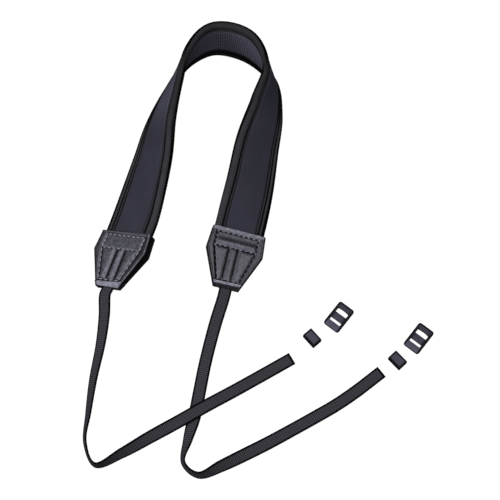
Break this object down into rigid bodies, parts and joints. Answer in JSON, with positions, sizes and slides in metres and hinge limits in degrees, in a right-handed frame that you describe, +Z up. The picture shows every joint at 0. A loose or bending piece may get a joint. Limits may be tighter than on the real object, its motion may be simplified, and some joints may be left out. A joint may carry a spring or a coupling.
{
  "type": "binocular strap",
  "caption": "Padded neck strap for binoculars: a bound foam band bent into a neck loop, stitched leather end tabs, narrow woven tails, and loose keeper loops and slotted sliders.",
  "frame": {"origin": "middle of the laid-out strap's outline, on the surface that it lies on", "axes": "+Z up, +Y from the tails towards the top of the neck loop, +X towards the loose fittings"},
  "size_m": [0.2652, 0.3573, 0.0401],
  "materials": {
    "knit": "smooth black knit bonded to foam, matt with a faint blue cast",
    "lining": "fine ribbed mesh cloth, blue grey, matt",
    "tape": "black woven binding tape with one stitched line",
    "webbing": "black ribbed woven tape with cut ends",
    "leather": "black grained leather, satin, with pressed ribs and stitched seams",
    "moulded": "black moulded plastic, satin, with softened edges"
  },
  "bodies": {
    "root": {"neck_pad": "knit", "pad_lining": "lining", "binding_outer": "tape", "binding_inner": "tape", "web_left": "webbing", "web_right": "webbing", "tab_left": "leather", "tab_right": "leather", "keeper_left": "moulded", "keeper_right": "moulded", "slider_left": "moulded", "slider_right": "moulded"}
  },
  "joints": []
}
